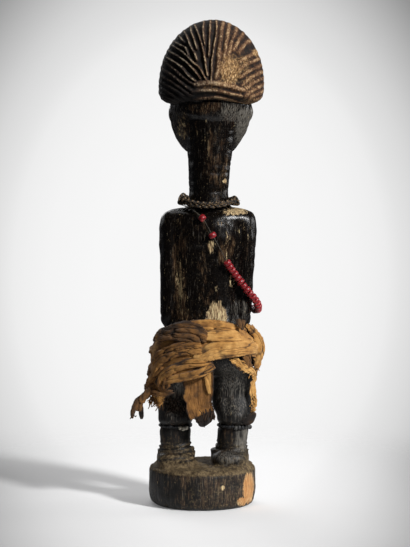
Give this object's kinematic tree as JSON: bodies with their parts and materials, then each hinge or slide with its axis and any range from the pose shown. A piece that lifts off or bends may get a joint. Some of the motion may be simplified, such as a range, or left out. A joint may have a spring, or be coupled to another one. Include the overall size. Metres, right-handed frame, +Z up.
{
  "type": "spirit spouse figure",
  "caption": "Standing carved wooden figure on a round base, with combed hair, hands on the belly, a neck cord, a string of red beads and a worn cotton loincloth.",
  "frame": {"origin": "centre of the underside of the round base", "axes": "+Z up the figure, which faces -Y; +X is the figure's own left"},
  "size_m": [0.1121, 0.0882, 0.402],
  "materials": {
    "blackened_wood": "dark handled patina with worn brown patches",
    "plant_fibre": "dark braided fibre",
    "red_glass": "glossy opaque red",
    "dark_glass": "small dull dark beads",
    "worn_cotton": "coarse hand-woven cotton, worn and frayed"
  },
  "bodies": {
    "root": {"carved_figure": "blackened_wood", "neck_cord": "plant_fibre", "bead_thread": "plant_fibre", "red_bead_01": "red_glass", "red_bead_02": "red_glass", "red_bead_03": "red_glass", "red_bead_04": "red_glass", "red_bead_05": "red_glass", "red_bead_06": "red_glass", "red_bead_07": "red_glass", "red_bead_08": "red_glass", "red_bead_09": "red_glass", "red_bead_10": "red_glass", "red_bead_11": "red_glass", "red_bead_12": "red_glass", "red_bead_13": "red_glass", "red_bead_14": "red_glass", "red_bead_15": "red_glass", "red_bead_16": "red_glass", "red_bead_17": "red_glass", "red_bead_18": "red_glass", "red_bead_19": "red_glass", "red_bead_20": "red_glass", "left_knee_beads": "dark_glass", "right_knee_beads": "dark_glass", "hip_wrap": "worn_cotton", "back_strip": "worn_cotton"}
  },
  "joints": []
}
